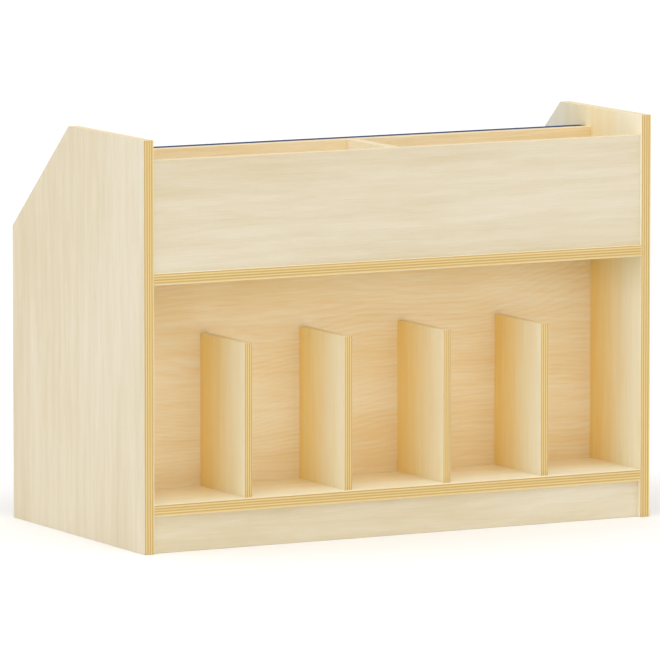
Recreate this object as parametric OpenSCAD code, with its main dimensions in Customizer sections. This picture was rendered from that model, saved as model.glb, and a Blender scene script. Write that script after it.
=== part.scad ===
// Low library book unit in plywood, open on both long sides.
// The storage side faces -Y: an open-topped bin over a bay of upright book slots.
// The display side faces +Y: a sloped board with a book stop over an open bay.
// Sizes are in millimetres. X runs along the unit and Z is up. The origin is on the floor,
// at the middle of the footprint.

/* [Overall size] */
// Width over both end panels
body_w = 1000; // [700:10:1300]
// Depth from the storage edge to the display edge
body_d = 517; // [420:1:700]
// Height of the end panels at the storage edge
body_h = 715; // [590:5:900]

/* [End panels] */
// Thickness of an end panel
end_t = 19; // [15:0.5:24]
// Depth of the level top, from the storage edge to the start of the slope
top_flat = 292; // [240:1:380]
// Height of the end panels at the display edge
far_h = 520; // [450:5:600]

/* [Boards] */
// Thickness of the shelves, the partition, the rails and the sloped board
board_t = 20; // [15:0.5:24]
// Thickness of the upright dividers in the book slots
slot_t = 15; // [12:0.5:20]

/* [Plinth and low shelf] */
// Height of the low shelf's top above the floor
low_top = 85; // [70:1:120]
// How far both plinth boards stand back from the shelf's edges
kick_recess = 9; // [0:1:40]

/* [Book slots] */
// Number of slots side by side
slot_count = 5; // [2:1:8]
// Height of a slot divider above the low shelf
slot_div_h = 269; // [150:1:350]
// How far a slot divider stands back from the storage edge
slot_recess = 12; // [0:1:40]

/* [Bin] */
// Height of the bin floor's top above the floor
bin_floor_top = 485; // [460:1:560]
// How far the bin's rim lies below the top of the end panels
rim_drop = 36; // [0:1:80]
// Depth from the storage edge to the centre partition
part_in = 180; // [140:1:220]
// How far the bin's front board stands back from the storage edge
front_recess = 5; // [0:1:20]

/* [Sloped display] */
// Height of the plumb cut where the sloped board meets the partition
plumb_cut = 5; // [2:0.5:8]
// How far the book stop reaches below the sloped board
stop_below = 33; // [28:1:60]
// How far the bay's upright stops short of the bin's rim
web_drop = 60; // [40:1:120]
// Side of the square battens that carry the sloped board
cleat_w = 25; // [20:1:30]
// Length of a batten along the slope
cleat_l = 280; // [150:5:280]

/* [Dowels] */
// Diameter of a wooden dowel
dowel_d = 8; // [6:1:10]
// Length of a dowel in the face of a board
dowel_in_face = 10; // [8:1:12]
// Length of a dowel in the edge of a board
dowel_in_edge = 20; // [15:1:25]
// Distance of the outer dowels from the edges of the low shelf
dowel_from_edge = 40; // [30:1:60]

/* [Cam fittings] */
// Diameter of a cam
cam_d = 15; // [12:1:16]
// How far a cam reaches past the axis of its bolt
cam_past = 4; // [4:0.25:5]
// Distance from a joint to the middle of its cam
cam_reach = 34; // [30:1:40]
// Diameter of the cam bolt's shaft
cam_bolt_d = 6; // [5:0.5:7]
// Diameter of the cam bolt's thread
cam_thread_d = 5; // [4:0.5:6]
// Distance of the outer cams from the edges of the low shelf
cam_from_edge = 110; // [80:1:140]

/* [Screws] */
// Shank diameter of the wood screws
screw_d = 4; // [3:0.5:5]
// Length of a screw through the partition
long_screw = 45; // [35:1:50]
// Length of a screw through a batten
short_screw = 35; // [32:1:38]

/* [Clearances] */
// Radial gap around a dowel or a screw in its bore
bore_gap = 0.1; // [0.05:0.05:0.3]
// Radial gap around a cam or its bolt, and how far a cam or a screw head lies below the surface
cam_gap = 0.2; // [0.1:0.05:0.4]
// Space left beyond the end of a dowel, a screw or a cam bolt
end_gap = 0.8; // [0.3:0.1:1]

/* [Hidden] */
$fn = 32;
birch = [0.90, 0.85, 0.74];
birch_warm = [0.88, 0.77, 0.56];
blue = [0.24, 0.34, 0.52];
beech = [0.80, 0.62, 0.42];
steel = [0.72, 0.73, 0.75];
zinc = [0.62, 0.63, 0.65];

// Faces that the boards are set out from
near_y = -body_d / 2;
far_y = body_d / 2;
in_x = body_w / 2 - end_t;
rim_z = body_h - rim_drop;
low_bottom = low_top - board_t;
bin_floor_bottom = bin_floor_top - board_t;
front_y = near_y + front_recess;
front_back = front_y + board_t;
part_y = near_y + part_in;
back_y = part_y + board_t;
stop_y = far_y - board_t;

// Slope of the end panels, which the display board follows
slope_a = atan2(body_h - far_h, body_d - top_flat);
land = board_t / sin(slope_a) - plumb_cut / tan(slope_a);
under_z = rim_z - plumb_cut;
board_low = under_z - (stop_y - back_y) * tan(slope_a);
board_len = (stop_y - back_y) / cos(slope_a);
stop_bottom = board_low - stop_below;
web_top = rim_z - web_drop;

// Slots
slot_w = (2 * in_x - (slot_count - 1) * slot_t) / slot_count;
DIVIDERS = [1:slot_count - 1];
function divider_x(i) = -in_x + i * slot_w + (i - 0.5) * slot_t;

// Height of a screw's countersunk head, half of its diameter
head_h = screw_d;

function along(a, b, share) = a + (b - a) * share;
function mid(a, b) = along(a, b, 0.5);

// Boards as boxes, each a pair of opposite corners
LOW_SHELF = [[-in_x, near_y, low_bottom], [in_x, far_y, low_top]];
BIN_FLOOR = [[-in_x, near_y, bin_floor_bottom], [in_x, part_y, bin_floor_top]];
PARTITION = [[-in_x, part_y, low_top], [in_x, back_y, rim_z]];
BIN_FRONT = [[-in_x, front_y, bin_floor_top], [in_x, front_back, rim_z]];
BIN_DIVIDER = [[-board_t / 2, front_back, bin_floor_top], [board_t / 2, part_y, rim_z]];
NEAR_KICK = [[-in_x, near_y + kick_recess, 0], [in_x, near_y + kick_recess + board_t, low_bottom]];
FAR_KICK = [[-in_x, far_y - kick_recess - board_t, 0], [in_x, far_y - kick_recess, low_bottom]];
BRACE = [[-board_t / 2, NEAR_KICK[1].y, 0], [board_t / 2, FAR_KICK[0].y, low_bottom]];
BOOK_STOP = [[-in_x, stop_y, stop_bottom], [in_x, far_y, far_h]];
WEB = [[-board_t / 2, back_y, low_top], [board_t / 2, stop_y, web_top]];
function end_box(side) = side < 0
    ? [[-body_w / 2, near_y, 0], [-in_x, far_y, body_h]]
    : [[in_x, near_y, 0], [body_w / 2, far_y, body_h]];
function slot_box(i) = [
    [divider_x(i) - slot_t / 2, near_y + slot_recess, low_top],
    [divider_x(i) + slot_t / 2, part_y, low_top + slot_div_h]
];

// Middle planes of the boards
low_mid = mid(low_bottom, low_top);
floor_mid = mid(bin_floor_bottom, bin_floor_top);
part_mid = mid(part_y, back_y);
front_mid = mid(front_y, front_back);
stop_mid = mid(stop_y, far_y);
near_kick_mid = mid(NEAR_KICK[0].y, NEAR_KICK[1].y);
far_kick_mid = mid(FAR_KICK[0].y, FAR_KICK[1].y);
stop_cam_z = stop_bottom + stop_below / 2 - end_gap;
kick_cam_z = along(0, low_bottom, 0.62);
kick_dowel_z = along(0, low_bottom, 0.25);
pair_x = along(0, in_x, 0.62);

// Dowels between a board's end and an end panel, as [y, z]
END_DOWELS = [
    [near_y + dowel_from_edge, low_mid],
    [far_y - dowel_from_edge, low_mid],
    [along(near_y, part_y, 0.2), floor_mid],
    [along(near_y, part_y, 0.8), floor_mid],
    [part_mid, along(low_top, rim_z, 0.12)],
    [part_mid, along(low_top, rim_z, 0.6)],
    [front_mid, along(bin_floor_top, rim_z, 0.2)],
    [front_mid, along(bin_floor_top, rim_z, 0.8)],
    [near_kick_mid, kick_dowel_z],
    [far_kick_mid, kick_dowel_z],
    [stop_mid, along(stop_bottom, far_h, 0.7)]
];

// Cams between a board's end and an end panel, as [y, z, the way the cam's face looks]
END_CAMS = [
    [near_y + cam_from_edge, low_mid, [0, 0, -1]],
    [far_y - cam_from_edge, low_mid, [0, 0, -1]],
    [mid(near_y, part_y), floor_mid, [0, 0, -1]],
    [part_mid, along(low_top, rim_z, 0.25), [0, 1, 0]],
    [part_mid, along(low_top, rim_z, 0.85), [0, 1, 0]],
    [front_mid, mid(bin_floor_top, rim_z), [0, 1, 0]],
    [near_kick_mid, kick_cam_z, [0, 1, 0]],
    [far_kick_mid, kick_cam_z, [0, -1, 0]],
    [stop_mid, stop_cam_z, [0, -1, 0]]
];

// Every dowel, as [point on the joint, direction from the drilled face into the drilled edge]
DOWELS = [
    for (d = END_DOWELS, side = [-1, 1]) [[side * in_x, d[0], d[1]], [-side, 0, 0]],
    for (side = [-1, 1]) [[side * pair_x, part_mid, low_top], [0, 0, 1]],
    for (side = [-1, 1]) [[side * pair_x, front_mid, bin_floor_top], [0, 0, 1]],
    for (side = [-1, 1], y = [near_kick_mid, far_kick_mid]) [[side * pair_x, y, low_bottom], [0, 0, -1]],
    for (i = DIVIDERS) [[divider_x(i), along(near_y, part_y, 0.3), low_top], [0, 0, 1]],
    for (share = [0.3, 0.8]) [[0, along(back_y, stop_y, share), low_top], [0, 0, 1]],
    for (share = [0.2, 0.6]) [[0, back_y, along(low_top, rim_z, share)], [0, 1, 0]],
    [[0, stop_y, stop_cam_z], [0, -1, 0]],
    [[0, mid(front_back, part_y), bin_floor_top], [0, 0, 1]],
    [[0, front_back, mid(bin_floor_top, rim_z)], [0, 1, 0]],
    [[0, NEAR_KICK[1].y, low_bottom / 2], [0, 1, 0]],
    [[0, FAR_KICK[0].y, low_bottom / 2], [0, -1, 0]]
];

// Every cam, as [point on the joint, direction into the drilled edge, direction the cam looks]
CAMS = [for (c = END_CAMS, side = [-1, 1]) [[side * in_x, c[0], c[1]], [-side, 0, 0], c[2]]];

// Screws through the partition into the dividers, each as the point on the joint
SCREWS = [
    for (i = DIVIDERS, share = [0.25, 0.8]) [divider_x(i), part_y, low_top + share * slot_div_h],
    for (share = [0.2, 0.8]) [0, part_y, along(bin_floor_top, rim_z, share)]
];

// Screws along a batten, each as its place along the slope
CLEAT_START = (board_len - cleat_l) / 2;
CLEAT_SCREWS = [for (share = [0.1, 0.5, 0.9]) CLEAT_START + share * cleat_l];
BOARD_SCREWS = [for (share = [0.2, 0.4, 0.8]) CLEAT_START + share * cleat_l];

// True where a point lies in a box or on its faces
function touches(p, box) =
    let (slack = 0.01)
    min(p - box[0]) > -slack && min(box[1] - p) > -slack;

// Points local +Z along one of the six axis directions
module aim(dir) {
    turn = dir.x != 0 ? [0, 90 * dir.x, 0] : dir.y != 0 ? [-90 * dir.y, 0, 0] : [dir.z > 0 ? 0 : 180, 0, 0];
    rotate(turn) children();
}

// Children with the origin on the underside of the display board and +Y down the slope
module on_slope() {
    translate([0, back_y, under_z]) rotate([-slope_a, 0, 0]) children();
}

// Outline in the YZ plane, extruded from x to x + width
module profile(x, width, points) {
    translate([x, 0, 0]) rotate([90, 0, 90]) linear_extrude(width) polygon(points);
}

module box(corners) {
    translate(corners[0]) cube(corners[1] - corners[0]);
}

// Dowel with chamfered ends, its joint at the origin and its longer end up
module dowel() {
    chamfer = dowel_d / 8;
    body_l = dowel_in_face + dowel_in_edge - 2 * chamfer;
    translate([0, 0, -dowel_in_face]) cylinder(h = chamfer, d1 = dowel_d - 2 * chamfer, d2 = dowel_d);
    translate([0, 0, chamfer - dowel_in_face]) cylinder(h = body_l, d = dowel_d);
    translate([0, 0, dowel_in_edge - chamfer]) cylinder(h = chamfer, d1 = dowel_d, d2 = dowel_d - 2 * chamfer);
}

module dowel_bore() {
    translate([0, 0, -dowel_in_face - end_gap])
        cylinder(h = dowel_in_face + dowel_in_edge + 2 * end_gap, d = dowel_d + 2 * bore_gap);
}

// Cam bolt along +Z: thread in the face, shaft in the edge, waist and head in the cam
module cam_bolt() {
    waist_l = 4;
    head_l = 5;
    shaft_l = cam_reach - waist_l;
    translate([0, 0, -dowel_in_face]) cylinder(h = dowel_in_face, d = cam_thread_d);
    cylinder(h = shaft_l, d = cam_bolt_d);
    translate([0, 0, shaft_l]) cylinder(h = waist_l, d = cam_bolt_d / 2);
    translate([0, 0, cam_reach]) cylinder(h = head_l, d1 = cam_bolt_d * 0.8, d2 = cam_bolt_d * 0.5);
}

// Bores of a cam bolt in the face and in the edge
module cam_bolt_bore() {
    translate([0, 0, -dowel_in_face - end_gap])
        cylinder(h = dowel_in_face + end_gap, d = cam_thread_d + 2 * bore_gap);
    cylinder(h = cam_reach, d = cam_bolt_d + 2 * cam_gap);
}

// Puts children at a cam's middle, on its board's mid plane, with +Z the way the cam looks
module at_cam(cam) {
    translate(cam[0] + cam_reach * cam[1]) aim(cam[2]) children();
}

// Cam with a hollow for its bolt and a cross recess. Its face lies just below the board's.
module cam(fitting) {
    top = board_t / 2 - cam_gap;
    cross_l = cam_d * 0.42;
    cross_w = 1.4;
    difference() {
        at_cam(fitting) translate([0, 0, -cam_past]) cylinder(h = top + cam_past, d = cam_d - 2 * cam_gap);
        translate(fitting[0]) aim(fitting[1])
            cylinder(h = cam_reach + cam_d * 0.36, d = cam_bolt_d + 2 * cam_gap);
        for (turn = [45, 135])
            at_cam(fitting) translate([0, 0, top]) rotate([0, 0, turn])
                cube([cross_l, cross_w, 5], center = true);
    }
}

module cam_bore(fitting) {
    at_cam(fitting) translate([0, 0, -cam_past])
        cylinder(h = board_t / 2 + cam_past + cam_gap, d = cam_d);
}

// Countersunk wood screw along -Z, its head's face at the origin, with a hexagonal recess
module screw(length) {
    tip_l = screw_d * 1.5;
    difference() {
        union() {
            translate([0, 0, -head_h / 2]) cylinder(h = head_h / 2, d1 = screw_d, d2 = 2 * screw_d);
            translate([0, 0, tip_l - length]) cylinder(h = length - tip_l, d = screw_d);
            translate([0, 0, -length]) cylinder(h = tip_l, d1 = screw_d / 8, d2 = screw_d);
        }
        translate([0, 0, -screw_d * 0.6]) cylinder(h = screw_d, d = screw_d * 0.75, $fn = 6);
    }
}

// Bore for a screw whose head lies cam_gap below the surface at the origin
module screw_bore(length) {
    wide = screw_d + 2 * bore_gap;
    translate([0, 0, -cam_gap - length - end_gap]) cylinder(h = length + end_gap + 2 * cam_gap, d = wide);
    translate([0, 0, -cam_gap - head_h / 2]) cylinder(h = head_h / 2, d1 = wide, d2 = wide + screw_d);
    translate([0, 0, -cam_gap]) cylinder(h = 2 * cam_gap, d = wide + screw_d);
}

// Puts children at the face that a divider screw enters, with +Z out of the board
module at_screw(p) {
    translate(p + [0, board_t, 0]) aim([0, 1, 0]) children();
}

// Puts children at the face of a batten that a screw enters: side is -1 for the left batten
module at_cleat_screw(side, place) {
    on_slope() translate([side * (in_x - cleat_w), place, -cleat_w / 2]) aim([-side, 0, 0]) children();
}

module at_board_screw(side, place) {
    on_slope() translate([side * (in_x - cleat_w / 2), place, -cleat_w]) aim([0, 0, -1]) children();
}

// A board with the bores of every fitting whose joint lies on it
module bored(corners) {
    difference() {
        children();
        for (d = DOWELS) if (touches(d[0], corners)) translate(d[0]) aim(d[1]) dowel_bore();
        for (c = CAMS) if (touches(c[0], corners)) {
            translate(c[0]) aim(c[1]) cam_bolt_bore();
            if (c[1] * (mid(corners[0], corners[1]) - c[0]) > cam_reach) cam_bore(c);
        }
        for (s = SCREWS) if (touches(s, corners)) at_screw(s) screw_bore(long_screw);
    }
}

module board(corners) {
    bored(corners) box(corners);
}

// End panel: level top, then a straight slope down to the display edge
module end_panel(side) {
    corners = end_box(side);
    outline = [
        [near_y, 0], [far_y, 0], [far_y, far_h], [near_y + top_flat, body_h], [near_y, body_h]
    ];
    difference() {
        bored(corners) profile(corners[0].x, end_t, outline);
        for (place = CLEAT_SCREWS) at_cleat_screw(side, place) screw_bore(short_screw);
    }
}

module left_end_panel() color(birch) end_panel(-1);
module right_end_panel() color(birch) end_panel(1);
module low_shelf() color(birch) board(LOW_SHELF);
module bin_floor() color(birch_warm) board(BIN_FLOOR);
module bin_front() color(birch) board(BIN_FRONT);
module bin_divider() color(birch_warm) board(BIN_DIVIDER);
module centre_partition() color(birch_warm) board(PARTITION);
module book_stop() color(birch) board(BOOK_STOP);
module near_plinth() color(birch) board(NEAR_KICK);
module far_plinth() color(birch) board(FAR_KICK);
module plinth_brace() color(birch_warm) board(BRACE);
module slot_divider(i) color(birch_warm) board(slot_box(i));

// Display board: plumb cut against the partition, level top edge, and a plumb foot at the stop
module display_board() {
    outline = [
        [back_y, under_z], [stop_y, board_low], [stop_y, board_low + board_t / cos(slope_a)],
        [back_y + land, rim_z], [back_y, rim_z]
    ];
    color(blue) difference() {
        profile(-in_x, 2 * in_x, outline);
        for (side = [-1, 1], place = BOARD_SCREWS) at_board_screw(side, place) screw_bore(short_screw);
    }
}

// Upright under the display board. Its sloping top edge carries the board.
module bay_upright() {
    meet_y = back_y + (under_z - web_top) / tan(slope_a);
    outline = [
        [back_y, low_top], [stop_y, low_top], [stop_y, board_low], [meet_y, web_top], [back_y, web_top]
    ];
    color(birch_warm) bored(WEB) profile(-board_t / 2, board_t, outline);
}

module batten(side) {
    x = side < 0 ? -in_x : in_x - cleat_w;
    color(birch_warm) difference() {
        on_slope() translate([x, CLEAT_START, -cleat_w]) cube([cleat_w, cleat_l, cleat_w]);
        for (place = CLEAT_SCREWS) at_cleat_screw(side, place) screw_bore(short_screw);
        for (place = BOARD_SCREWS) at_board_screw(side, place) screw_bore(short_screw);
    }
}

module left_batten() batten(-1);
module right_batten() batten(1);

module wood_dowels() color(beech) for (d = DOWELS) translate(d[0]) aim(d[1]) dowel();
module cam_bolts() color(steel) for (c = CAMS) translate(c[0]) aim(c[1]) cam_bolt();
module cams() color(zinc) for (c = CAMS) cam(c);

module divider_screws() {
    color(steel) for (s = SCREWS) at_screw(s) translate([0, 0, -cam_gap]) screw(long_screw);
}

module batten_screws() {
    color(steel) for (side = [-1, 1], place = CLEAT_SCREWS)
        at_cleat_screw(side, place) translate([0, 0, -cam_gap]) screw(short_screw);
}

module board_screws() {
    color(steel) for (side = [-1, 1], place = BOARD_SCREWS)
        at_board_screw(side, place) translate([0, 0, -cam_gap]) screw(short_screw);
}

left_end_panel();
right_end_panel();
low_shelf();
bin_floor();
bin_front();
bin_divider();
centre_partition();
display_board();
book_stop();
bay_upright();
near_plinth();
far_plinth();
plinth_brace();
left_batten();
right_batten();
for (i = DIVIDERS)
    slot_divider(i);
wood_dowels();
cam_bolts();
cams();
divider_screws();
batten_screws();
board_screws();
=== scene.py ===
"""Low plywood library unit: lacquered birch plywood, a blue display board and plain fittings."""
import math

import bpy
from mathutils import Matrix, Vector


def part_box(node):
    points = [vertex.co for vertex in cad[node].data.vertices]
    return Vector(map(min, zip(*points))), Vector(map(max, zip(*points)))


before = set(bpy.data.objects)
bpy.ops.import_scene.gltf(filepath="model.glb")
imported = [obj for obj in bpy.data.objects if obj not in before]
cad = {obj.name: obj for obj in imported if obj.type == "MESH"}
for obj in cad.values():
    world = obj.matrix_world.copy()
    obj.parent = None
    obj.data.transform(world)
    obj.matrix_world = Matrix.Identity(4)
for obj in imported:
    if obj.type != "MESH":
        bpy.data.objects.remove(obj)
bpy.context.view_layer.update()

MM = 0.001
X, Y, Z = Vector((1, 0, 0)), Vector((0, 1, 0)), Vector((0, 0, 1))


# ---------------------------------------------------------------- camera

CAMERA_AIM = Vector((-0.004, -0.0015, 0.3337))
CAMERA_AZIMUTH = math.radians(-27.91)
CAMERA_ELEVATION = math.radians(6.93)
CAMERA_DISTANCE = 15.03
CAMERA_LENS = 464.2


def make_camera():
    data = bpy.data.cameras.new("camera")
    data.lens = CAMERA_LENS
    data.sensor_width = 36
    data.clip_end = 200
    back = Vector((
        math.sin(CAMERA_AZIMUTH) * math.cos(CAMERA_ELEVATION),
        -math.cos(CAMERA_AZIMUTH) * math.cos(CAMERA_ELEVATION),
        math.sin(CAMERA_ELEVATION),
    ))
    camera = bpy.data.objects.new("camera", data)
    camera.location = CAMERA_AIM + CAMERA_DISTANCE * back
    camera.rotation_mode = "QUATERNION"
    camera.rotation_quaternion = (-back).to_track_quat("-Z", "Y")
    bpy.context.scene.collection.objects.link(camera)
    bpy.context.scene.camera = camera


make_camera()


# ---------------------------------------------------------------- node graphs

def linear(red, green, blue):
    """A colour given as 0 to 255 display values, as the linear values that shaders take."""
    def channel(value):
        value /= 255
        return value / 12.92 if value <= 0.04045 else ((value + 0.055) / 1.055) ** 2.4
    return (channel(red), channel(green), channel(blue), 1)


class Graph:
    """One node tree, with short calls that add a node and return its output socket."""

    def __init__(self, tree):
        self.tree = tree

    def add(self, kind, inputs=None, **settings):
        node = self.tree.nodes.new(kind)
        for name, value in settings.items():
            setattr(node, name, value)
        for key, value in (inputs or {}).items():
            self.put(node.inputs[key], value)
        return node

    def put(self, socket, value):
        if isinstance(value, bpy.types.NodeSocket):
            self.tree.links.new(value, socket)
        else:
            socket.default_value = value

    def math(self, operation, a, b=0.0, c=0.0):
        return self.add("ShaderNodeMath", {0: a, 1: b, 2: c}, operation=operation).outputs[0]

    def dot(self, a, b):
        node = self.add("ShaderNodeVectorMath", {0: a, 1: b}, operation="DOT_PRODUCT")
        return node.outputs["Value"]

    def vector(self, x, y, z):
        return self.add("ShaderNodeCombineXYZ", {0: x, 1: y, 2: z}).outputs[0]

    def fit(self, value, low, high, to_low=0.0, to_high=1.0):
        """Maps low..high to to_low..to_high, held at both ends."""
        inputs = {
            "Value": value, "From Min": low, "From Max": high, "To Min": to_low, "To Max": to_high,
        }
        return self.add("ShaderNodeMapRange", inputs, interpolation_type="SMOOTHSTEP").outputs[0]

    def scaled(self, vector, factor):
        inputs = {0: vector, 1: (factor, factor, factor)}
        return self.add("ShaderNodeVectorMath", inputs, operation="MULTIPLY").outputs[0]

    def noise(self, vector, detail=2.0, roughness=0.5):
        inputs = {"Vector": vector, "Scale": 1.0, "Detail": detail, "Roughness": roughness}
        return self.add("ShaderNodeTexNoise", inputs).outputs["Fac"]

    def mix(self, factor, a, b, blend="MIX"):
        node = self.add("ShaderNodeMix", data_type="RGBA", blend_type=blend)
        self.put(node.inputs[0], factor)
        self.put(node.inputs[6], a)
        self.put(node.inputs[7], b)
        return node.outputs[2]

    def bump(self, height, distance):
        inputs = {"Height": height, "Distance": distance, "Strength": 1.0}
        return self.add("ShaderNodeBump", inputs).outputs[0]


def new_material(name, roughness, specular=0.5, metallic=0.0):
    """A material with its Principled shader's constants set. Returns it with its graph and shader."""
    material = bpy.data.materials.new(name)
    material.use_nodes = True
    shader = material.node_tree.nodes["Principled BSDF"]
    shader.inputs["Roughness"].default_value = roughness
    shader.inputs["Specular IOR Level"].default_value = specular
    shader.inputs["Metallic"].default_value = metallic
    return material, Graph(material.node_tree), shader


# ---------------------------------------------------------------- plywood

# Veneer colours as (ground, grain line). PALE is the plain veneer; CREAM, AMBER and HONEY on the faces
# inside the bays are painted shade and warm bounced light on that same veneer
PALE = (linear(230, 221, 200), linear(213, 196, 160))
# PALER is painted light: the plinths' outer faces are made paler to lift the shade under the low shelf.
PALER = (linear(234, 225, 203), linear(217, 201, 164))
CREAM = (linear(252, 250, 234), linear(246, 232, 193))
AMBER = (linear(255, 232, 160), linear(252, 211, 124))
HONEY = (linear(253, 241, 213), linear(244, 216, 165))
PLY_LIGHT = linear(234, 210, 147)
PLY_DARK = linear(207, 171, 106)
GLUE = linear(150, 112, 58)
TOP_EDGE_HIGHLIGHT = linear(246, 234, 205)    # painted highlight: ply edges that face up are lightened, as if lit from above

FACE_VENEER = 0.03     # share of the thickness that each face veneer takes
THIN_BOARD = 17 * MM   # boards thinner than this have fewer layers
THIN_PAIRS = 3.5       # dark and light layers between the face veneers, counted in pairs
THICK_PAIRS = 4.0

DEEP_REACH = 170 * MM  # distance from the partition over which painted shade takes a veneer to its deeper colours
SHELTER = 100 * MM     # height above the bin floor over which that painted shade fades
OPEN_DEPTH = 0.4       # the part of that painted shade that is left above that
CLOSE_REACH = 90 * MM  # height under the bin floor over which painted shade darkens the slots' inner faces
# Colour multiplied in as painted shade close under the bin floor.
CLOSE_SHADE_TINT = linear(239, 236, 223)

# Noise in the veneer as (periods per metre along the grain, across it, offset of the seed, detail,
# roughness)
BROAD = (1.2, 6.0, 0.0, 2.0, 0.5)
STREAKS = (4.2, 56.0, 2.0, 3.0, 0.6)
RIPPLE = (16.0, 210.0, 4.0, 2.0, 0.5)
WAVER = (12.0, 34.0, 8.0, 2.0, 0.5)
FIELD = (1.4, 3.2, 5.0, 1.0, 0.4)
PRESENCE = (2.4, 11.0, 11.0, 2.0, 0.5)
FIBRE = (11.0, 520.0, 0.0, 3.0, 0.62)
PORES = (75.0, 1700.0, 0.0, 1.0, 0.5)
RINGS = 96.0           # grain lines per metre of the field that bends them


def wood_coordinates(g, along, across, seed):
    """Distances in metres along and across the grain, each moved by the seed."""
    point = g.add("ShaderNodeTexCoord").outputs["Object"]
    a = g.math("ADD", g.dot(point, along), seed * 3.17)
    c = g.math("ADD", g.dot(point, across), seed * 1.31)
    return point, a, c


def stretched(g, a, c, seed, pattern):
    """Noise drawn out along the grain by one of the patterns above."""
    along, across, offset, detail, roughness = pattern
    vector = g.vector(g.math("MULTIPLY", a, along), g.math("MULTIPLY", c, across), seed + offset)
    return g.noise(vector, detail, roughness)


def veneer(g, a, c, seed, figure):
    """Rotary-cut birch veneer: sweeping grain lines, broad streaks, ripples, fine fibres and short
    pores. Returns how far the colour lies from the ground to the grain line, and the bump height."""
    broad, streaks, ripple, waver, field = (
        stretched(g, a, c, seed, pattern) for pattern in (BROAD, STREAKS, RIPPLE, WAVER, FIELD)
    )
    field = g.math("MULTIPLY_ADD", field, 0.42, g.math("MULTIPLY_ADD", waver, 0.014, c))
    ring = g.math("FRACT", g.math("MULTIPLY", field, RINGS))
    lines = g.math("MULTIPLY", g.fit(ring, 0.3, 0.84), g.fit(ring, 0.86, 1.0, 1.0, 0.0))
    presence = g.fit(stretched(g, a, c, seed, PRESENCE), 0.36, 0.64, 0.3, 1.0)
    lines = g.math("MULTIPLY", lines, presence)
    fibre = g.fit(stretched(g, a, c, seed, FIBRE), 0.28, 0.74)
    pores = g.fit(stretched(g, a, c, seed, PORES), 0.63, 0.76)
    tone = g.math("MULTIPLY", lines, 0.38 * figure)
    for part, weight in (
        (g.fit(ripple, 0.3, 0.7), 0.08 + 0.22 * figure),
        (fibre, 0.2),
        (g.fit(streaks, 0.3, 0.7), 0.34 - 0.06 * figure),
        (g.fit(broad, 0.3, 0.7), 0.36 + 0.1 * figure),
        (pores, 0.3),
    ):
        tone = g.math("MULTIPLY_ADD", part, weight, tone)
    height = g.math("MULTIPLY_ADD", pores, -0.6, g.math("MULTIPLY", fibre, -0.35))
    return tone, height


def plies(g, point, a, c, u, seed, pairs):
    """The laminated edge: layers by their share u of the thickness, cross-grained ones darker."""
    wander = g.noise(g.vector(g.math("MULTIPLY", a, 5.0), g.math("MULTIPLY", c, 5.0), seed), 1.0)
    u = g.math("MULTIPLY_ADD", g.math("SUBTRACT", wander, 0.5), 0.012, u)
    phase = g.math("MULTIPLY", g.math("SUBTRACT", u, FACE_VENEER), pairs / (1 - 2 * FACE_VENEER))
    wave = g.math("SINE", g.math("MULTIPLY", phase, 2 * math.pi))
    dark = g.fit(wave, -0.25, 0.25)
    glue = g.fit(g.math("ABSOLUTE", wave), 0.0, 0.22, 1.0, 0.0)
    layer = g.math("FLOOR", g.math("MULTIPLY", phase, 2.0))
    own = g.add(
        "ShaderNodeTexWhiteNoise", {"W": g.math("ADD", layer, seed * 7.3)}, noise_dimensions="1D"
    )
    ends = g.noise(g.scaled(point, 1900), 2.0, 0.6)
    streaks = g.noise(g.vector(*(g.math("MULTIPLY", value, 60.0) for value in (a, c, u))), 2.0)
    colour = g.mix(dark, PLY_LIGHT, PLY_DARK)
    shade = g.math("MULTIPLY_ADD", own.outputs["Value"], 0.16, g.math("MULTIPLY", ends, 0.18))
    shade = g.math("MULTIPLY_ADD", streaks, 0.22, shade)
    colour = g.mix(g.fit(shade, 0.1, 0.5, 0.0, 0.22), colour, GLUE)
    colour = g.mix(g.math("MULTIPLY", glue, 0.18), colour, GLUE)
    height = g.math("MULTIPLY_ADD", dark, -0.5, g.math("MULTIPLY", ends, 0.5))
    return colour, height


def side_colour(g, point, tone, side):
    """Colour of one face veneer, with painted shade. Its first colours deepen to the second towards the
    centre partition, less so above the bin floor. The slots' inner faces also darken with painted shade
    close under it."""
    outer, deep = side
    colour = g.mix(tone, *outer)
    height = g.dot(point, Z)
    under, over = (corner.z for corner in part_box("bin_floor"))
    low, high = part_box("centre_partition")
    partition = (low.y + high.y) / 2
    if outer is not deep:
        # Painted shade: deeper colours towards the centre partition, where the bays are darkest.
        away = g.math("ABSOLUTE", g.math("SUBTRACT", g.dot(point, Y), partition))
        sheltered = g.fit(height, over, over + SHELTER, 1.0, OPEN_DEPTH)
        partition_shade = g.math("MULTIPLY", g.fit(away, 0.0, DEEP_REACH, 1.0, 0.0), sheltered)
        colour = g.mix(partition_shade, colour, g.mix(tone, *deep))
    # Painted shade: inner faces darken close under the bin floor.
    if side in (SHADED_CORE, SLOT):
        close = g.fit(height, under - CLOSE_REACH, under)
        close = g.math("MULTIPLY", close, g.math("LESS_THAN", height, under))
        close = g.math("MULTIPLY", close, g.math("LESS_THAN", g.dot(point, Y), partition))
        colour = g.mix(close, colour, CLOSE_SHADE_TINT, blend="MULTIPLY")
    return colour


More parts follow.
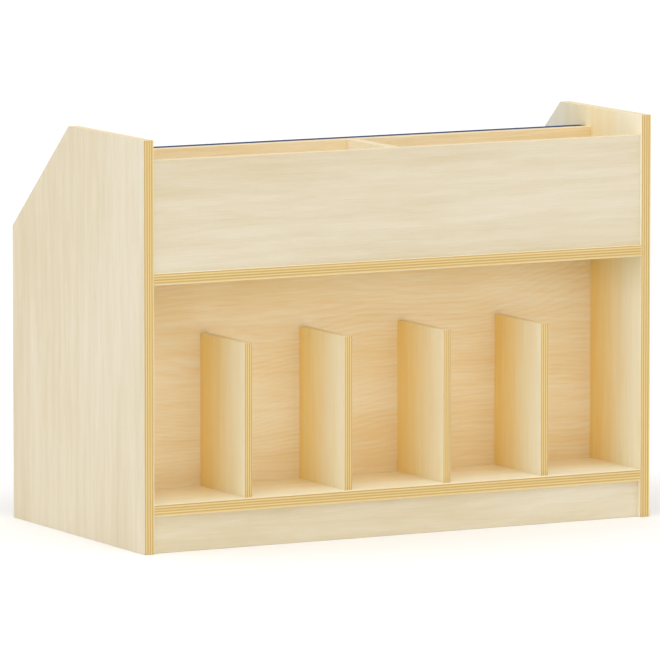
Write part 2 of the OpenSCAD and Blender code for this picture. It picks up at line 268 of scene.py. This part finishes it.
def plywood(name, along, seed, low_side, high_side, figure):
    """Lacquered birch plywood for a board whose thinnest side is its thickness. The veneers on its low
    and high sides have their own colours; on faces inside the bays these colours are painted shade and
    bounced light."""
    low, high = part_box(name)
    size = high - low
    thin = min(range(3), key=lambda i: size[i])
    normal = Vector([float(i == thin) for i in range(3)])
    across = Vector([abs(value) for value in along.cross(normal)])
    material, g, shader = new_material("ply_" + name, roughness=0.46, specular=0.3)
    point, a, c = wood_coordinates(g, along, across, seed)
    u = g.math("DIVIDE", g.math("SUBTRACT", g.dot(point, normal), low[thin]), size[thin])
    from_face = g.math("MINIMUM", u, g.math("SUBTRACT", 1.0, u))
    inside = g.fit(from_face, FACE_VENEER * 0.8, FACE_VENEER * 1.2)
    tone, face_height = veneer(g, a, c, seed, figure)
    face_colour = side_colour(g, point, tone, low_side)
    if high_side is not low_side:
        high_colour = side_colour(g, point, tone, high_side)
        face_colour = g.mix(g.math("GREATER_THAN", u, 0.5), face_colour, high_colour)
    pairs = THIN_PAIRS if size[thin] < THIN_BOARD else THICK_PAIRS
    layers = g.math("SUBTRACT", 1.0, u) if thin == 2 else u
    edge_colour, edge_height = plies(g, point, a, c, layers, seed, pairs)
    # Painted highlight: edges that face up are mixed towards a paler colour, as light from above would
    # make them.
    top_highlight_mask = g.fit(g.dot(g.add("ShaderNodeTexCoord").outputs["Normal"], Z), 0.5, 0.95)
    edge_colour = g.mix(g.math("MULTIPLY", top_highlight_mask, 0.6), edge_colour, TOP_EDGE_HIGHLIGHT)
    g.put(shader.inputs["Base Color"], g.mix(inside, face_colour, edge_colour))
    heights = {0: inside, 2: face_height, 3: edge_height}
    height = g.add("ShaderNodeMix", heights, data_type="FLOAT").outputs[0]
    g.put(shader.inputs["Normal"], g.bump(height, 0.12 * MM))
    gloss = g.math("MULTIPLY_ADD", inside, 0.1, g.math("MULTIPLY_ADD", face_height, -0.05, 0.42))
    g.put(shader.inputs["Roughness"], gloss)
    return material


# ---------------------------------------------------------------- other materials

WOOD_RINGS = 120.0     # growth lines per metre


def solid_wood(name, along, across, seed, light, dark):
    """Plain planed timber with straight growth lines."""
    material, g, shader = new_material(name, roughness=0.6, specular=0.3)
    point, a, c = wood_coordinates(g, along, across, seed)
    bend = g.noise(g.vector(g.math("MULTIPLY", a, 3.0), g.math("MULTIPLY", c, 20.0), seed), 2.0)
    turns = g.math("MULTIPLY", c, WOOD_RINGS * 2 * math.pi)
    lines = g.math("SINE", g.math("MULTIPLY_ADD", bend, 9.0, turns))
    fibre = g.noise(g.vector(g.math("MULTIPLY", a, 15.0), g.math("MULTIPLY", c, 900.0), seed), 3.0, 0.6)
    tone = g.math("MULTIPLY_ADD", g.fit(lines, -0.3, 1.0), 0.55, g.math("MULTIPLY", fibre, 0.5))
    g.put(shader.inputs["Base Color"], g.mix(tone, light, dark))
    g.put(shader.inputs["Normal"], g.bump(fibre, 0.2 * MM))
    return material


def blue_laminate():
    """Matt blue laminate: a fine pebbled skin with slight changes of tone and sheen."""
    material, g, shader = new_material("blue_laminate", roughness=0.5, specular=0.05)
    point = g.add("ShaderNodeTexCoord").outputs["Object"]
    slow = g.noise(g.scaled(point, 7.0), 3.0)
    pebbles = g.noise(g.scaled(point, 900.0), 1.5)
    colour = g.mix(g.fit(slow, 0.3, 0.7), linear(36, 54, 92), linear(40, 59, 98))
    colour = g.mix(g.math("MULTIPLY", g.fit(pebbles, 0.35, 0.7), 0.25), colour, linear(64, 86, 126))
    g.put(shader.inputs["Base Color"], colour)
    g.put(shader.inputs["Roughness"], g.fit(pebbles, 0.2, 0.8, 0.42, 0.58))
    g.put(shader.inputs["Normal"], g.bump(pebbles, 0.2 * MM))
    return material


def metal(name, colour, roughness):
    """Plated or cast metal with a fine uneven surface."""
    material, g, shader = new_material(name, roughness, metallic=1.0)
    point = g.add("ShaderNodeTexCoord").outputs["Object"]
    grain = g.noise(g.scaled(point, 1400), 3.0, 0.6)
    dull = [value * 0.82 for value in colour[:3]] + [1]
    g.put(shader.inputs["Base Color"], g.mix(g.fit(grain, 0.3, 0.7), colour, dull))
    g.put(shader.inputs["Roughness"], g.fit(grain, 0.25, 0.75, roughness - 0.08, roughness + 0.12))
    g.put(shader.inputs["Normal"], g.bump(grain, 0.05 * MM))
    return material


# ---------------------------------------------------------------- finishing the boards

def end_slope():
    """Angle of the end panels' sloping edge below the horizontal."""
    points = [v.co for v in cad["left_end_panel"].data.vertices]
    low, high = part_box("left_end_panel")
    tolerance = 0.01 * MM
    level_end = max(p.y for p in points if high.z - p.z < tolerance)
    far_top = max(p.z for p in points if high.y - p.y < tolerance)
    return math.atan2(high.z - far_top, high.y - level_end)


SLOPE = end_slope()
DOWN_SLOPE = Vector((0, math.cos(SLOPE), -math.sin(SLOPE)))
OFF_SLOPE = Vector((0, math.sin(SLOPE), math.cos(SLOPE)))

EASE = 0.5 * MM        # radius of the sanded edges
LONG_EDGE = 11 * MM    # edges shorter than this are the rims of bores, which stay sharp
SHARP_ANGLE = 0.5      # radians; edges between flatter faces aren't corners
ON_PLANE = 0.2 * MM    # edges whose two ends are together this near to a joint's plane aren't free


def butted_planes(name, sides):
    """The planes on which a board meets its neighbours, as (normal, distance from the origin)."""
    low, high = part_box(name)
    planes = []
    for side in sides.split():
        if side == "slope":
            planes.append((OFF_SLOPE, max(v.co.dot(OFF_SLOPE) for v in cad[name].data.vertices)))
        else:
            axis = "xyz".index(side[1])
            normal = Vector([float(i == axis) for i in range(3)])
            planes.append((normal, (low if side[0] == "-" else high)[axis]))
    return planes


def edge_marker(name, planes):
    """Geometry nodes that mark a board's long free edges for the bevel that follows."""
    group = bpy.data.node_groups.new("free_edges_" + name, "GeometryNodeTree")
    group.interface.new_socket("Geometry", in_out="INPUT", socket_type="NodeSocketGeometry")
    group.interface.new_socket("Geometry", in_out="OUTPUT", socket_type="NodeSocketGeometry")
    g = Graph(group)
    start = g.add("NodeGroupInput")
    ends = g.add("GeometryNodeInputMeshEdgeVertices")
    pair = {0: ends.outputs["Position 1"], 1: ends.outputs["Position 2"]}
    span = g.add("ShaderNodeVectorMath", pair, operation="DISTANCE").outputs["Value"]
    both = g.add("ShaderNodeVectorMath", pair, operation="ADD").outputs[0]
    angle = g.add("GeometryNodeInputMeshEdgeAngle").outputs["Unsigned Angle"]
    long_enough = g.math("GREATER_THAN", span, LONG_EDGE)
    free = g.math("MULTIPLY", long_enough, g.math("GREATER_THAN", angle, SHARP_ANGLE))
    for normal, distance in planes:
        off = g.math("SUBTRACT", g.dot(both, normal), 2 * distance)
        free = g.math("MULTIPLY", free, g.math("GREATER_THAN", g.math("ABSOLUTE", off), ON_PLANE))
    store = g.add("GeometryNodeStoreNamedAttribute", {
        "Geometry": start.outputs[0], "Name": "bevel_weight_edge", "Value": free,
    }, data_type="FLOAT", domain="EDGE")
    finish = g.add("NodeGroupOutput")
    g.put(finish.inputs[0], store.outputs[0])
    return group


def ease_edges(name, sides):
    """Rounds a board's free edges, as sanding does, and leaves the edges at its joints crisp."""
    board = cad[name]
    weld = board.modifiers.new("weld", "WELD")
    weld.merge_threshold = 0.001 * MM
    flat = board.modifiers.new("flat", "DECIMATE")
    flat.decimate_type = "DISSOLVE"
    flat.angle_limit = math.radians(0.5)
    marker = board.modifiers.new("free_edges", "NODES")
    marker.node_group = edge_marker(name, butted_planes(name, sides))
    bevel = board.modifiers.new("ease", "BEVEL")
    bevel.limit_method = "WEIGHT"
    bevel.width = EASE
    bevel.segments = 3
    bevel.use_clamp_overlap = False
    bevel.loop_slide = False
    bevel.harden_normals = True


def finish_with(name, material):
    slots = cad[name].data.materials
    for index in range(len(slots)):
        slots[index] = material


# name: (grain direction, sides that meet other boards, veneer on the low side, veneer on the
# high side, strength of the grain lines)
OUTSIDE = (PALE, PALE)
# Painted light: paler plinth fronts, lifting the shade under the low shelf.
PLINTH = (PALER, PALER)
# Painted shade and bounced light: the sets for faces inside the bays are warmer and deeper than
# OUTSIDE.
SHADED_CORE = (HONEY, HONEY)
SLOT = (CREAM, AMBER)
SHELF = (CREAM, HONEY)
BOARDS = {
    "left_end_panel": (Z, "", OUTSIDE, SLOT, 0.15),
    "right_end_panel": (Z, "", SLOT, OUTSIDE, 0.15),
    "low_shelf": (X, "-x +x", SHADED_CORE, SHELF, 0.3),
    "bin_floor": (X, "-x +x +y", SHELF, SHELF, 0.3),
    "bin_front": (X, "-x +x -z", OUTSIDE, SHELF, 0.12),
    "bin_divider": (Y, "-y +y -z", SHELF, SHELF, 0.3),
    "centre_partition": (X, "-x +x -z", SHADED_CORE, SHADED_CORE, 0.7),
    "book_stop": (X, "-x +x", SHELF, OUTSIDE, 0.15),
    "bay_upright": (Z, "-y -z slope", SLOT, SLOT, 0.3),
    "near_plinth": (X, "-x +x +z", PLINTH, SHADED_CORE, 0.15),
    "far_plinth": (X, "-x +x +z", SHADED_CORE, PLINTH, 0.15),
    "plinth_brace": (Y, "-y +y +z", SHADED_CORE, SHADED_CORE, 0.3),
}
for number in range(1, 5):
    BOARDS[f"slot_divider_{number}"] = (Z, "+y -z", SLOT, SLOT, 0.2)

for seed, (name, (along, sides, low_side, high_side, figure)) in enumerate(BOARDS.items(), start=1):
    finish_with(name, plywood(name, along, float(seed), low_side, high_side, figure))
    ease_edges(name, sides)

finish_with("display_board", blue_laminate())
ease_edges("display_board", "-x +x -y +y")
pine = solid_wood("pine", DOWN_SLOPE, X + OFF_SLOPE, 3.0, linear(238, 208, 156), linear(206, 160, 104))
for name, side in (("left_batten", "-x"), ("right_batten", "+x")):
    finish_with(name, pine)
    ease_edges(name, side + " slope")
finish_with("wood_dowels", solid_wood("beech", Z, X, 4.0, linear(222, 180, 132), linear(190, 142, 96)))
steel = metal("zinc_plated_steel", linear(205, 207, 210), 0.3)
for name in ("cam_bolts", "divider_screws", "batten_screws", "board_screws"):
    finish_with(name, steel)
finish_with("cams", metal("die_cast_zinc", linear(168, 170, 174), 0.45))


# ---------------------------------------------------------------- floor and light

FLOOR_SIZE = 90.0
FLOOR_GAP = 0.2 * MM
SURROUND = 0.52        # strength of the even surround
PATCHES = ((Z, 0.81), ((Z - Y).normalized(), 0.8), ((Z - X).normalized(), 0.77))
PATCH_POWER = 4.0      # how fast a patch falls off around its direction


def make_floor():
    half = FLOOR_SIZE / 2
    corners = [(-half, -half, 0), (half, -half, 0), (half, half, 0), (-half, half, 0)]
    mesh = bpy.data.meshes.new("floor")
    mesh.from_pydata(corners, [], [(0, 1, 2, 3)])
    floor = bpy.data.objects.new("floor", mesh)
    floor.location.z = -FLOOR_GAP
    bpy.context.scene.collection.objects.link(floor)
    material, _, shader = new_material("floor", roughness=0.9, specular=0.1)
    shader.inputs["Base Color"].default_value = (0.96, 0.96, 0.96, 1)
    mesh.materials.append(material)


def make_world():
    """White studio light: an even surround with soft brighter patches overhead, in front and on
    the left."""
    world = bpy.data.worlds.new("studio")
    world.use_nodes = True
    bpy.context.scene.world = world
    g = Graph(world.node_tree)
    direction = g.add("ShaderNodeTexCoord").outputs["Generated"]
    strength = SURROUND
    for towards, added in PATCHES:
        patch = g.math("POWER", g.math("MAXIMUM", g.dot(direction, towards), 0.0), PATCH_POWER)
        strength = g.math("MULTIPLY_ADD", patch, added, strength)
    background = world.node_tree.nodes["Background"]
    background.inputs["Color"].default_value = (1, 1, 1, 1)
    g.put(background.inputs["Strength"], strength)


make_floor()
make_world()
bpy.context.scene.view_settings.view_transform = "Standard"
